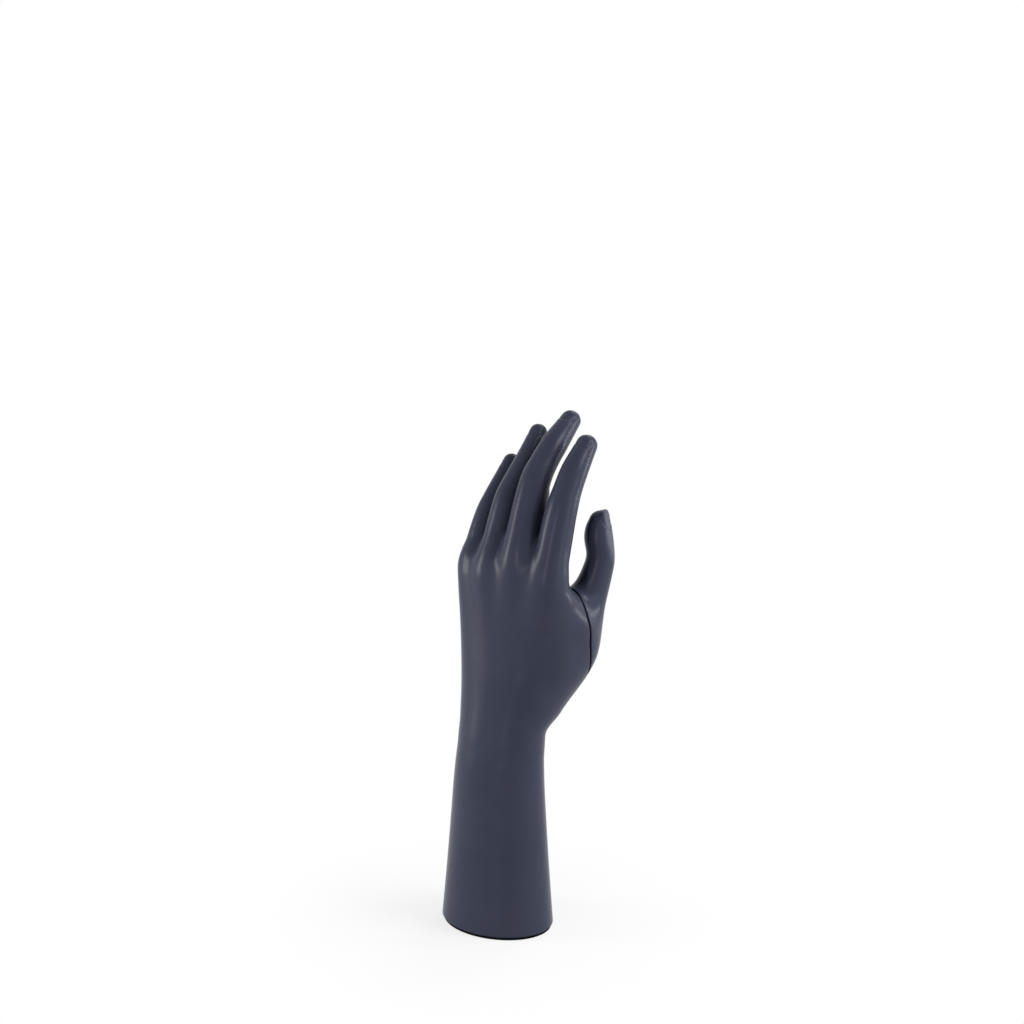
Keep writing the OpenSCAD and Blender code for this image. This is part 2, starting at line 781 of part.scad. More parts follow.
module thumb_magnet() {
    color(magnet_metal)
        at_joint(1)
            magnet();
}

module hand_plate_screws() {
    color(fastener_metal)
        at_joint(-1)
            plate_screws(hand_screw_length, 0);
}

module thumb_plate_screws() {
    color(fastener_metal)
        at_joint(1)
            plate_screws(thumb_screw_length, 0);
}

module locating_pins() {
    color(fastener_metal)
        at_joint(1)
            pin_holes(0, -pin_reach, plate_thickness + pin_root);
}

module foot_plate() {
    color(foot_plastic)
        difference() {
            translate([0, 0, pad_thickness])
                linear_extrude(foot_plate_thickness)
                    oval(pad_thickness + foot_plate_thickness, foot_rim + foot_plate_clearance);
            foot_screw_set(screw_clearance);
        }
}

module foot_screws() {
    color(fastener_metal)
        foot_screw_set(0);
}

module foot_pad() {
    color(pad_rubber)
        linear_extrude(pad_thickness)
            oval(pad_thickness, pad_inset);
}

hand_shell();
hand_joint_plate();
hand_magnet();
hand_plate_screws();
foot_plate();
foot_screws();
foot_pad();
thumb_shell();
thumb_joint_plate();
thumb_magnet();
thumb_plate_screws();
locating_pins();
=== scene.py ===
"""Hand mannequin: painted skins of the hand and its loose thumb, fittings of the joint, and the studio."""

import itertools
import json
import math

import bmesh
import bpy
import numpy as np
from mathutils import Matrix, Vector


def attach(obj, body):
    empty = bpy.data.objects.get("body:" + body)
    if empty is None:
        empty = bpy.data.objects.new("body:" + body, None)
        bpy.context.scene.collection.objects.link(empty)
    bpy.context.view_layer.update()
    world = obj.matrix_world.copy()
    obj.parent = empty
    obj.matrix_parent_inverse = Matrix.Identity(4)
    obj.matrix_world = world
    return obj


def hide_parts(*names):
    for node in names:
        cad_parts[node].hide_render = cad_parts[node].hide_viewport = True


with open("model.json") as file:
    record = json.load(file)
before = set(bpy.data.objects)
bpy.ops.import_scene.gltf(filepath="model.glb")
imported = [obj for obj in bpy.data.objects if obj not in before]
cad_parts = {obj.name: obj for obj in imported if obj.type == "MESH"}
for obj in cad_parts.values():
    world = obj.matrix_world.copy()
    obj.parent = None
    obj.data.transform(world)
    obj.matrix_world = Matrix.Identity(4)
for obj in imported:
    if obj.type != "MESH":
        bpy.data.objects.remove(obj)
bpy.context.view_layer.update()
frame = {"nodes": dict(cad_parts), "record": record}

# Sizes in millimetres and degrees, in the CAD's frame: X to the thumb's side, Y to the palm, Z up
MM = 0.001
FOOT = (71.5, 57.0)
WRIST = (56.0, 42.0)
WRIST_HEIGHT = 112.0
WRIST_CENTRE = (1.2, 0.4)
WRIST_BLEND = 4.0
WRIST_BENDING = 30.0
FOREARM_STRAIGHTNESS = 0.7
CORE = (45.0, 19.5)
CORE_CENTRE = (5.5, 7.5)
CORE_LENGTH = 73.0
CORE_END_LENGTH = 36.0
CORE_END = WRIST_HEIGHT + CORE_LENGTH + CORE_END_LENGTH / 2
PAD_THICKNESS = 2.0
FOOT_RIM = 2.5
FOOT_RECESS = 6.3

# Fingers: places above the wrist, bends to the palm, leans to the thumb, thickness at each joint and the tip
FINGERS = {
    "index": {
        "knuckle": (32.5, 5.5, 111.0), "knuckle_girth": 21.5,
        "carpal": (11.0, 3.0, 10.0), "carpal_girth": 22.0,
        "bones": (41.0, 26.0, 17.0), "bends": (12.5, 19.0, 14.0), "leans": (3.0, 1.8, 1.6),
        "girths": (21.4, 18.9, 16.0, 12.7), "pad": 0.2,
    },
    "middle": {
        "knuckle": (13.5, 4.5, 121.0), "knuckle_girth": 22.0,
        "carpal": (5.0, 2.0, 10.0), "carpal_girth": 24.0,
        "bones": (45.0, 28.5, 18.5), "bends": (18.0, 27.5, 13.0), "leans": (-2.5, 5.5, 1.2),
        "girths": (21.2, 18.4, 15.7, 12.2), "pad": 1.1,
    },
    "ring": {
        "knuckle": (-6.5, 4.5, 111.5), "knuckle_girth": 21.0,
        "carpal": (-2.0, 2.5, 10.0), "carpal_girth": 23.0,
        "bones": (41.0, 27.5, 18.5), "bends": (20.5, 19.0, 4.5), "leans": (0.0, 5.4, -1.6),
        "girths": (19.0, 17.2, 13.4, 10.6), "pad": 1.1,
    },
    "little": {
        "knuckle": (-22.5, 9.0, 107.5), "knuckle_girth": 18.0,
        "carpal": (-8.0, 4.0, 10.0), "carpal_girth": 20.0,
        "bones": (32.5, 20.0, 16.0), "bends": (22.0, 18.0, 5.5), "leans": (-2.0, 6.0, 2.5),
        "girths": (18.6, 14.0, 12.2, 10.8), "pad": 0.9,
    },
}
FINGER_WAIST = 0.98
# Shares of the bend of a finger's middle and last joint that the stations before and after it have taken
MIDDLE_JOINT_SHARES = (0.25, 0.75)
LAST_JOINT_SHARES = (0.2, 0.9)
ROOT_LEAD = 30.0
ROOT_THINNING = 4.5
FOLD_UP = 13.0
FOLD_RADIUS = 3.5
# Fleshy pad on the palm side of each first finger bone: its reach along the bone and share of the radius
PHALANX_PAD_REACH = (0.2, 0.9)
PHALANX_PAD_SHARE = 0.98

THUMB_ROOT = (20.0, 13.5, 34.0)
THUMB_BONES = (32.5, 30.5, 27.5, 23.6)
THUMB_BENDS = (28.5, 19.5, 11.5, 5.5)
THUMB_LEANS = (28.0, 8.0, 12.5, -4.5)
THUMB_GIRTHS = (34.0, 28.5, 22.5, 17.4, 14.4)
THUMB_PULP = 1.07
THUMB_PULP_PLACE = 0.66
THUMB_TIP_LEAN = 0.0

# Flesh pads above the wrist, each with its lower and upper end and the radius there
FLESH_PADS = {
    "heel": ((-10.4, 9.0, 26.0, 12.7), (-19.6, 12.0, 92.0, 9.6)),
    "thumb_muscle": ((23.0, 8.0, 46.0, 12.0), (32.0, 26.0, 64.0, 12.5)),
    "thumb_ball": ((33.0, 25.0, 65.0, 11.0), (40.0, 23.5, 78.0, 10.5)),
    "thumb_back": ((32.0, 13.0, 56.0, 11.6), (36.5, 11.0, 97.0, 8.8)),
    "thumb_mound": ((16.0, 16.0, 54.0, 12.0), (24.0, 25.0, 86.0, 11.0)),
    "thumb_web": ((36.0, 20.0, 89.5, 8.5), (35.0, 29.0, 86.2, 8.3)),
}

# How widely the forms melt into each other
PALM_BLEND = 12.0
PAD_BLEND = 9.0
THUMB_BLEND = 11.0
ROOT_BLEND = 5.0
FOLD_BLEND = 4.0
FINGER_BLEND = 1.0
FAR = 20.0

# The seam of the thumb, and the joint plates let into its two faces
SEAM_UP = 9.0
SEAM_TURN = 65.0
SEAM_TILT = 6.0
SEAM_GAP = 1.4
SEAM_TOP = 225.0
EDGE_ROUND = 0.5
EDGE_STEPS = 3
PLATE_LENGTH = 36.0
PLATE_WIDTH = 14.0
PLATE_DEPTH = 4.2
PLATE_RISE = 3.0
PLATE_SHIFT = 3.5
PLATE_CLEARANCE = 0.25
PIN_SPACING = 14.0
PIN_HOLE = 4.1
PIN_DEPTH = 6.0

# Nails: length, half of the angle that they cover, end and corners as shares, and their relief
NAIL_LENGTH = 11.0
NAIL_HALF_ANGLE = 52.0
NAIL_END = 0.8
NAIL_ROOT_CORNER = 0.85
NAIL_TIP_CORNER = 0.5
NAIL_RISE = 0.14
NAIL_SLOPE = 1.0
NAIL_GROOVE = 0.15
NAIL_GROOVE_WIDTH = 0.7
NAIL_FOLD = 0.10
NAIL_FOLD_PLACE = 1.6
NAIL_FOLD_WIDTH = 1.0
NAIL_TIP_FADE = 2.5
NAIL_REACH = 3.5
# The thumb's nail lies on a flat: its turn to the outer side, and the flat's height, fall and rounding
THUMBNAIL_LENGTH = 13.0
THUMBNAIL_TURN = 108.0
THUMBNAIL_HEIGHT = 4.6
THUMBNAIL_TILT = 13.5
THUMBNAIL_ROUND = 1.2
# The free edge of the thumb's nail, a round bar across the tip: its place along, height and size
FREE_EDGE_PLACE = 4.0
FREE_EDGE_HEIGHT = 3.7
FREE_EDGE_RADIUS = 2.8
FREE_EDGE_HALF = 2.6
FREE_EDGE_BLEND = 2.5

# The back of the palm is evened out along the hand: between which heights, how deep, softly and far
BACK_BAND = (185.0, 248.0)
BACK_DEPTH = 8.0
BACK_FADE = 8.0
BACK_REACH = 7.0
BACK_SAMPLES = 7

# Fineness of the skin's mesh
CELL = 0.9
ROUGH_CELLS = 4
NEAR_CELLS = 1.5
NET_LOW = (-48.0, -42.0, -4.0)
NET_HIGH = (70.0, 84.0, 322.0)
CURVE_PIECES = 10
NAIL_CUTS = 2

# Least values that keep divisions safe
LEAST_SLOPE = 0.1
LEAST_SHRINK = 0.02
TINY = 1e-10

# Smoothing of the skin: a step inward and one back out, rounds everywhere, and more rounds below some heights
SMOOTH_IN = 0.5
SMOOTH_OUT = -0.52
SMOOTH_ROUNDS = 25
LOWER_ROUNDS = ((240.0, 40), (215.0, 80))
LOWER_FADE = 30.0
NAIL_FADE = 4.0

# Height above the foot's edge that still counts as the edge, and the angle from which edges are sharp
FOOT_MARGIN = 0.2
SHARP_ANGLE = 50.0


def vec(*values):
    return np.array(values, float)


def unit(v):
    return v / np.linalg.norm(v)


def heading(bend, lean):
    """Direction of a bone that bends to the palm and leans to the thumb."""
    bend, lean = math.radians(bend), math.radians(lean)
    return vec(math.sin(lean) * math.cos(bend), math.sin(bend), math.cos(lean) * math.cos(bend))


def above_wrist(place):
    return vec(*place) + vec(0, 0, WRIST_HEIGHT)


def chain(start, steps):
    """Stations [x, y, z, radius] of a limb from its first one and steps of length, bend, lean and radius."""
    stations = [start]
    for length, bend, lean, radius in steps:
        place = stations[-1][:3] + length * heading(bend, lean)
        stations.append(np.append(place, radius))
    return np.array(stations)


def finger_stations(finger):
    """Stations of a finger, from its root inside the palm to its tip."""
    first, second, third = finger["bones"]
    bend1, bend2, bend3 = finger["bends"]
    lean1, lean2, lean3 = finger["leans"]
    root, joint1, joint2, tip = (girth / 2 for girth in finger["girths"])
    knuckle = above_wrist(finger["knuckle"])
    swing = lean2 - lean1
    before, after = MIDDLE_JOINT_SHARES
    tip_before, tip_after = LAST_JOINT_SHARES
    line = chain(np.append(knuckle, root), (
        (first / 2, bend1, lean1, FINGER_WAIST * (root + joint1) / 2),
        (first / 2, bend1 + before * bend2, lean1 + before * swing, joint1),
        (second / 2, bend1 + after * bend2, lean1 + after * swing, FINGER_WAIST * (joint1 + joint2) / 2),
        (second / 2, bend1 + bend2 + tip_before * bend3, lean2, joint2),
        (third, bend1 + bend2 + tip_after * bend3, lean3, tip),
    ))
    to_wrist = unit(above_wrist(finger["carpal"]) - knuckle)
    lead = np.append(knuckle + ROOT_LEAD * to_wrist, root - ROOT_THINNING)
    return np.vstack([lead, line])


def thumb_stations():
    radii = [girth / 2 for girth in THUMB_GIRTHS]
    *bones, last = zip(THUMB_BONES, THUMB_BENDS, THUMB_LEANS, radii[1:])
    length, bend, lean, tip = last
    pulp = (THUMB_PULP_PLACE * length, bend, lean, THUMB_PULP * radii[3])
    end = ((1 - THUMB_PULP_PLACE) * length, bend, THUMB_TIP_LEAN, tip)
    return chain(np.append(above_wrist(THUMB_ROOT), radii[0]), [*bones, pulp, end])


def smooth_line(stations):
    """A finer line through the stations, as a Catmull-Rom curve."""
    first = 2 * stations[0] - stations[1]
    last = 2 * stations[-1] - stations[-2]
    points = np.vstack([first, stations, last])
    line = [stations[0]]
    for a, b, c, d in zip(points, points[1:], points[2:], points[3:]):
        square = 2 * a - 5 * b + 4 * c - d
        cube = 3 * b - a - 3 * c + d
        for step in range(1, CURVE_PIECES + 1):
            t = step / CURVE_PIECES
            line.append(0.5 * (2 * b + (c - a) * t + square * t ** 2 + cube * t ** 3))
    return np.array(line)


def bone(points, start, end):
    """Distance of points from a bone with round ends and a radius at each, inside negative."""
    run = end[:3] - start[:3]
    t = np.clip((points - start[:3]) @ run / (run @ run), 0, 1)
    gap = points - start[:3] - t[:, None] * run
    return np.sqrt(np.einsum("ij,ij->i", gap, gap)) - (start[3] + (end[3] - start[3]) * t)


def limb(points, line):
    """Distance of points from a chain of bones, which stays at FAR for points far away from it."""
    grown = line[:, 3].max() + FAR
    low, high = line[:, :3].min(0) - grown, line[:, :3].max(0) + grown
    near = np.all((points > low) & (points < high), axis=1)
    close = points[near]
    nearest = np.full(len(close), FAR)
    for start, end in zip(line, line[1:]):
        nearest = np.minimum(nearest, bone(close, start, end))
    distance = np.full(len(points), FAR)
    distance[near] = nearest
    return distance


def melt(a, b, width):
    """The smaller of two distances, with a rounded inner corner of about that width."""
    h = np.clip(0.5 + 0.5 * (b - a) / width, 0, 1)
    return b + (a - b) * h - width * h * (1 - h)


def girth_at(z, axis):
    """Width or depth of the forearm and of the palm's core at a height."""
    height = np.clip(z, 0, CORE_END)
    down = 1 - height / WRIST_HEIGHT
    spread = FOREARM_STRAIGHTNESS * down + (1 - FOREARM_STRAIGHTNESS) * down ** 2
    forearm = WRIST[axis] + (FOOT[axis] - WRIST[axis]) * spread
    palm = WRIST[axis] + (CORE[axis] - WRIST[axis]) * (height - WRIST_HEIGHT) / CORE_LENGTH
    return melt(forearm, palm, WRIST_BLEND)


def core(points):
    """The oval forearm with the flat core of the palm."""
    z = points[:, 2]
    end = np.clip(1 + (z - CORE_END) / CORE_END_LENGTH, 0, 1)
    shrink = np.sqrt(np.maximum(LEAST_SHRINK, 1 - end ** 2))
    up_arm = np.clip(z / WRIST_HEIGHT, 0, 1)
    up_palm = -melt(WRIST_HEIGHT - np.minimum(z, CORE_END), 0.0, WRIST_BENDING) / CORE_LENGTH
    flat, steep = TINY, TINY
    for axis in (0, 1):
        half = girth_at(z, axis) / 2 * shrink
        centre = WRIST_CENTRE[axis] * up_arm + (CORE_CENTRE[axis] - WRIST_CENTRE[axis]) * up_palm
        offset = points[:, axis] - centre
        flat = flat + (offset / half) ** 2
        steep = steep + (offset / half ** 2) ** 2
    distance = np.sqrt(flat) * (np.sqrt(flat) - 1) / np.sqrt(steep)
    beyond = z - CORE_END
    return np.where(beyond > 0, np.hypot(np.maximum(distance, 0), beyond), distance)


def tip_directions(base, tip, turn, tilt):
    """Directions along a fingertip, across it and out of its nail, by the nail's turn and fall to the tip."""
    along = unit(tip[:3] - base[:3])
    back = np.cross(unit(vec(1, 0, 0) - along * along[0]), along)
    turn, tilt = math.radians(turn), math.radians(tilt)
    back = math.cos(turn) * back + math.sin(turn) * np.cross(along, back)
    out = math.cos(tilt) * back + math.sin(tilt) * along
    side = np.cross(along, back)
    return np.cross(out, side), side, out


def phalanx_pad(stations, offset):
    """Ends of the pad on the palm side of a finger's first bone."""
    knuckle, joint = stations[1], stations[3]
    up = unit(joint[:3] - knuckle[:3])
    palmar = unit(vec(0, 1, 0) - up * up[1])
    ends = []
    for reach in PHALANX_PAD_REACH:
        place, radius = np.split(knuckle + reach * (joint - knuckle), [3])
        ends.append(np.append(place + offset * palmar, PHALANX_PAD_SHARE * radius))
    return np.array(ends)


finger_places = [finger_stations(finger) for finger in FINGERS.values()]
pad_offsets = [finger["pad"] for finger in FINGERS.values()]
finger_pads = [phalanx_pad(places, offset) for places, offset in zip(finger_places, pad_offsets)]
finger_lines = [smooth_line(places) for places in finger_places]
thumb_places = thumb_stations()
thumb_line = smooth_line(thumb_places)
thumb_tip = thumb_places[-2:]
thumbnail_along, thumbnail_side, thumbnail_out = tip_directions(*thumb_tip, THUMBNAIL_TURN, THUMBNAIL_TILT)


def fold_ends():
    """Middle of each finger where the folds of skin to its neighbours start."""
    for finger in FINGERS.values():
        up = heading(finger["bends"][0], finger["leans"][0])
        yield np.append(above_wrist(finger["knuckle"]) + FOLD_UP * up, FOLD_RADIUS)


def palm_bones():
    for finger in FINGERS.values():
        carpal = np.append(above_wrist(finger["carpal"]), finger["carpal_girth"] / 2)
        knuckle = np.append(above_wrist(finger["knuckle"]), finger["knuckle_girth"] / 2)
        yield np.array([carpal, knuckle])


def flesh_pads():
    for ends in FLESH_PADS.values():
        yield np.array(ends) + vec(0, 0, WRIST_HEIGHT, 0)


def free_edge():
    """Ends of the bar that carries the free edge of the thumb's nail."""
    middle = thumb_places[-1][:3] + FREE_EDGE_PLACE * thumbnail_along + FREE_EDGE_HEIGHT * thumbnail_out
    ends = [middle + end * FREE_EDGE_HALF * thumbnail_side for end in (-1, 1)]
    return np.array([np.append(end, FREE_EDGE_RADIUS) for end in ends])


def skin(points):
    """Distance of points from the skin of the whole hand, inside negative."""
    palm = core(points)
    for ends in palm_bones():
        palm = melt(palm, limb(points, ends), PALM_BLEND)
    for ends in flesh_pads():
        palm = melt(palm, limb(points, ends), PAD_BLEND)
    palm = melt(palm, limb(points, np.array(list(fold_ends()))), FOLD_BLEND)
    above_flat = (points - thumb_places[-1][:3]) @ thumbnail_out - THUMBNAIL_HEIGHT
    thumb = melt(limb(points, thumb_line), limb(points, free_edge()), FREE_EDGE_BLEND)
    thumb = -melt(-thumb, -above_flat, THUMBNAIL_ROUND)
    whole = melt(palm, thumb, THUMB_BLEND)
    for line, pad in zip(finger_lines, finger_pads):
        finger = np.minimum(limb(points, line), limb(points, pad))
        whole = melt(whole, melt(palm, finger, ROOT_BLEND), FINGER_BLEND)
    return whole


def slope(points, step=0.02):
    """Distance of points from the skin, and the direction in which it grows."""
    here = skin(points)
    growth = [(skin(points + step * axis) - here) / step for axis in np.eye(3)]
    return here, np.stack(growth, 1)


def sampled_skin(low, counts):
    """Distances on a grid of points: exact near the skin, and only right in sign away from it."""
    rough_cell = CELL * ROUGH_CELLS
    rough_counts = [math.ceil(n / ROUGH_CELLS) + 1 for n in counts]
    rough_index = np.stack(np.meshgrid(*map(np.arange, rough_counts), indexing="ij"), -1).reshape(-1, 3)
    rough = skin(low + rough_cell * rough_index).reshape(rough_counts)
    nearest = [np.rint(np.arange(n) / ROUGH_CELLS).astype(int) for n in counts]
    values = rough[np.ix_(*nearest)]
    near = np.argwhere(np.abs(values) < NEAR_CELLS * rough_cell)
    values[tuple(near.T)] = skin(low + CELL * near)
    return values


def skin_net(low, high):
    """Vertices and quads of the skin as a surface net: one vertex in each cell that the skin crosses."""
    counts = np.ceil((high - low) / CELL).astype(int) + 1
    values = sampled_skin(low, counts)
    inside = values < 0
    corner_sum = np.zeros(counts - 1, np.int8)
    corners = list(itertools.product((0, 1), repeat=3))
    for corner in corners:
        corner_sum += inside[tuple(slice(c, c + n - 1) for c, n in zip(corner, counts))]
    cells = np.argwhere((corner_sum > 0) & (corner_sum < len(corners)))
    number = np.full(counts - 1, -1)
    number[tuple(cells.T)] = np.arange(len(cells))

    total = np.zeros((len(cells), 3))
    crossings = np.zeros(len(cells))
    for a, b in itertools.combinations(corners, 2):
        if sum(b) - sum(a) != 1 or any(q < p for p, q in zip(a, b)):
            continue
        value_a = values[tuple((cells + a).T)]
        value_b = values[tuple((cells + b).T)]
        crossed = (value_a < 0) != (value_b < 0)
        t = value_a[crossed] / (value_a[crossed] - value_b[crossed])
        total[crossed] += np.array(a) + t[:, None] * (np.array(b) - np.array(a))
        crossings += crossed
    vertices = low + CELL * (cells + total / crossings[:, None])

    quads = []
    for axis in range(3):
        across, beside = np.roll(np.eye(3, dtype=int), -axis - 1, 0)[:2]
        here = [slice(1, n - 1) for n in counts]
        here[axis] = slice(0, counts[axis] - 1)
        there = list(here)
        there[axis] = slice(1, counts[axis])
        start, end = inside[tuple(here)], inside[tuple(there)]
        origin = np.ones(3, int)
        origin[axis] = 0
        for leaving, turn in ((start & ~end, 1), (~start & end, -1)):
            place = np.argwhere(leaving) + origin
            ring = (place - across - beside, place - beside, place, place - across)
            quads.append(np.stack([number[tuple(p.T)] for p in ring], 1)[:, ::turn])
    return vertices, np.concatenate(quads)


def to_skin(points, rounds=2):
    """Points moved onto the skin along its slope."""
    for _ in range(rounds):
        distance, direction = slope(points)
        size = np.einsum("ij,ij->i", direction, direction)
        points = points - direction * (distance / np.maximum(size, LEAST_SLOPE))[:, None]
    return points


def evened_back(points):
    """Points on the back of the palm moved to the mean of the skin along the hand, for soft knuckles."""
    low, high = BACK_BAND
    inside = np.minimum(points[:, 2] - low, high - points[:, 2])
    inside = np.minimum(inside, BACK_DEPTH - points[:, 1])
    share = np.clip(inside / BACK_FADE, 0, 1)
    near = share > 0
    steps = np.linspace(-BACK_REACH, BACK_REACH, BACK_SAMPLES)
    mean = np.mean([skin(points[near] + vec(0, 0, step)) for step in steps], axis=0)
    direction = slope(points[near])[1]
    points[near] -= direction * (share[near] * mean)[:, None]
    return points


# The seam of the thumb: a point of its plane, the direction of pull and two directions in the plane
seam_point = thumb_places[1][:3] + SEAM_UP * heading(THUMB_BENDS[1], THUMB_LEANS[1])
seam_normal = vec(
    math.cos(math.radians(SEAM_TURN)) * math.cos(math.radians(SEAM_TILT)),
    math.sin(math.radians(SEAM_TURN)) * math.cos(math.radians(SEAM_TILT)),
    math.sin(math.radians(SEAM_TILT)),
)
seam_up = unit(vec(0, 0, 1) - seam_normal * seam_normal[2])
seam_across = np.cross(seam_normal, seam_up)


class Nail:
    """A nail on the end of a finger or of the thumb."""

    def __init__(self, places, length, turn=0.0, tilt=0.0):
        base, tip = places[-2:]
        self.tip = tip[:3]
        self.along, self.side, self.out = tip_directions(base, tip, turn, tilt)
        self.radii = (tip[3], base[3])
        self.run = np.linalg.norm(tip[:3] - base[:3])
        self.half_width = math.radians(NAIL_HALF_ANGLE) * (tip[3] + base[3]) / 2
        self.start = tip[3] - length
        self.end = NAIL_END * tip[3]

    def place(self, points):
        """Distance along the finger from the tip's middle, and from the nail's outline, negative inside."""
        offset = points - self.tip
        along = offset @ self.along
        height = offset @ self.out
        radius = np.interp(-along, (0, self.run), self.radii)
        across = np.arctan2(offset @ self.side, height) * radius
        middle = (self.start + self.end) / 2
        corner = np.where(along < middle, NAIL_ROOT_CORNER, NAIL_TIP_CORNER) * self.half_width
        over = np.stack([
            np.abs(across) - self.half_width + corner,
            np.abs(along - middle) - (self.end - self.start) / 2 + corner,
        ], 1)
        outline = np.linalg.norm(np.maximum(over, 0), axis=1) + np.minimum(over.max(1), 0) - corner
        return along, np.where(height < 0, FAR, outline)

    def relief(self, points, outline):
        """How far the skin rises out of itself around and under the nail."""
        along, _ = self.place(points)
        plate = NAIL_RISE * np.clip(-outline / NAIL_SLOPE, 0, 1)
        behind = np.clip((self.end - along) / NAIL_TIP_FADE, 0, 1)
        groove = NAIL_GROOVE * np.exp(-(outline / NAIL_GROOVE_WIDTH) ** 2)
        fold = NAIL_FOLD * np.exp(-((outline - NAIL_FOLD_PLACE) / NAIL_FOLD_WIDTH) ** 2)
        return plate + (fold - groove) * behind


nails = [Nail(places, NAIL_LENGTH) for places in finger_places]
nails.append(Nail(thumb_places, THUMBNAIL_LENGTH, THUMBNAIL_TURN, THUMBNAIL_TILT))


def nail_outlines(points):
    """Distance of points from the outline of each nail, which stays at FAR on the other fingers."""
    limbs = np.stack([limb(points, line) for line in (*finger_lines, thumb_line)])
    own = limbs.argmin(0)
    return [np.where(own == i, nail.place(points)[1], FAR) for i, nail in enumerate(nails)]


def vertex_array(bm):
    bm.verts.index_update()
    return np.array([v.co for v in bm.verts])


def relaxed(points, pairs, share, rounds):
    """Points evened out along the mesh without shrinking it. share is 0 where a point stays."""
    count = np.bincount(pairs.ravel(), minlength=len(points))[:, None]
    for step in range(2 * rounds):
        mean = np.zeros_like(points)
        for axis in range(3):
            mean[:, axis] = np.bincount(pairs[:, 0], points[pairs[:, 1], axis], len(points))
            mean[:, axis] += np.bincount(pairs[:, 1], points[pairs[:, 0], axis], len(points))
        weight = SMOOTH_IN if step % 2 == 0 else SMOOTH_OUT
        points = points + weight * share[:, None] * (mean / np.maximum(count, 1) - points)
    return points


def whole_skin():
    """Mesh of the whole hand's skin, with nails, still in one piece and in millimetres."""
    vertices, quads = skin_net(vec(*NET_LOW), vec(*NET_HIGH))
    mesh = bpy.data.meshes.new("net")
    mesh.from_pydata(vertices, [], quads)
    bm = bmesh.new()
    bm.from_mesh(mesh)
    bpy.data.meshes.remove(mesh)
    foot = PAD_THICKNESS + EDGE_ROUND
    everything = bm.verts[:] + bm.edges[:] + bm.faces[:]
    bmesh.ops.bisect_plane(bm, geom=everything, plane_co=(0, 0, foot), plane_no=(0, 0, 1), clear_inner=True)
    close = np.min(nail_outlines(vertex_array(bm)), axis=0) < NAIL_REACH
    edges = [e for e in bm.edges if close[e.verts[0].index] and close[e.verts[1].index]]
    bmesh.ops.subdivide_edges(bm, edges=edges, cuts=NAIL_CUTS, use_grid_fill=True)
    points = evened_back(to_skin(vertex_array(bm)))
    pairs = np.array([[v.index for v in e.verts] for e in bm.edges])
    outlines = nail_outlines(points)
    share = np.clip((np.min(outlines, axis=0) - NAIL_REACH) / NAIL_FADE, 0, 1)
    share = share * (points[:, 2] > foot + FOOT_MARGIN)
    points = relaxed(points, pairs, share, SMOOTH_ROUNDS)
    for height, rounds in LOWER_ROUNDS:
        lower = np.clip((height - points[:, 2]) / LOWER_FADE, 0, 1)
        points = relaxed(points, pairs, share * lower, rounds)
    direction = slope(points)[1]
    direction /= np.linalg.norm(direction, axis=1)[:, None]
    for nail, outline in zip(nails, outlines):
        points = points + direction * nail.relief(points, outline)[:, None]
    points[points[:, 2] < foot + FOOT_MARGIN, 2] = foot
    for v, point in zip(bm.verts, points):
        v.co = point
    return bm


def kept_island(bm, seed):
    """Deletes all but the connected piece of mesh nearest to a point."""
    nearest = min(bm.verts, key=lambda v: (v.co - seed).length_squared)
    found = {nearest}
    front = [nearest]
    while front:
        v = front.pop()
        for edge in v.link_edges:
            other = edge.other_vert(v)
            if other not in found:
                found.add(other)
                front.append(other)
    bmesh.ops.delete(bm, geom=[v for v in bm.verts if v not in found], context="VERTS")


def extruded(bm, edges):
    """New loop of vertices joined to an open edge loop by a band of faces, with the old vertex of each."""
    old = {tuple(v.co): v for e in edges for v in e.verts}
    new = bmesh.ops.extrude_edge_only(bm, edges=edges)["geom"]
    verts = [g for g in new if isinstance(g, bmesh.types.BMVert)]
    loop = [g for g in new if isinstance(g, bmesh.types.BMEdge) and g.is_boundary]
    return loop, [(v, old[tuple(v.co)]) for v in verts]


def rounded(bm, loop, ahead):
    """Open edge loop carried ahead and inward over a rounded edge, to a new loop."""
    bm.normal_update()
    rim = {}
    for v in {v for e in loop for v in e.verts}:
        rim[v] = v.co.copy(), (v.normal - ahead * v.normal.dot(ahead)).normalized()
    for step in range(1, EDGE_STEPS + 1):
        angle = math.pi / 2 * step / EDGE_STEPS
        loop, pairs = extruded(bm, loop)
        for new, old in pairs:
            rim[new] = rim[old]
            start, outward = rim[new]
            new.co = start + EDGE_ROUND * (math.sin(angle) * ahead - (1 - math.cos(angle)) * outward)
    return loop


def drawn_loop(bm, points):
    verts = [bm.verts.new(p) for p in points]
    return [bm.edges.new((a, b)) for a, b in zip(verts, verts[1:] + verts[:1])]


def on_seam(x, y, depth):
    """Point of the seam by its height, its place across and its depth on the thumb's side."""
    return seam_point + x * seam_up + y * seam_across + depth * seam_normal


def stadium(length, width, steps=24):
    """Outline of a slot with round ends."""
    for end in (1, -1):
        for step in range(steps + 1):
            angle = math.pi * (step / steps - 0.5)
            x = (length - width) / 2 + width / 2 * math.cos(angle)
            yield end * x, end * width / 2 * math.sin(angle)


def circle(x, diameter, steps=32):
    for step in range(steps):
        angle = 2 * math.pi * step / steps
        yield x + diameter / 2 * math.cos(angle), diameter / 2 * math.sin(angle)


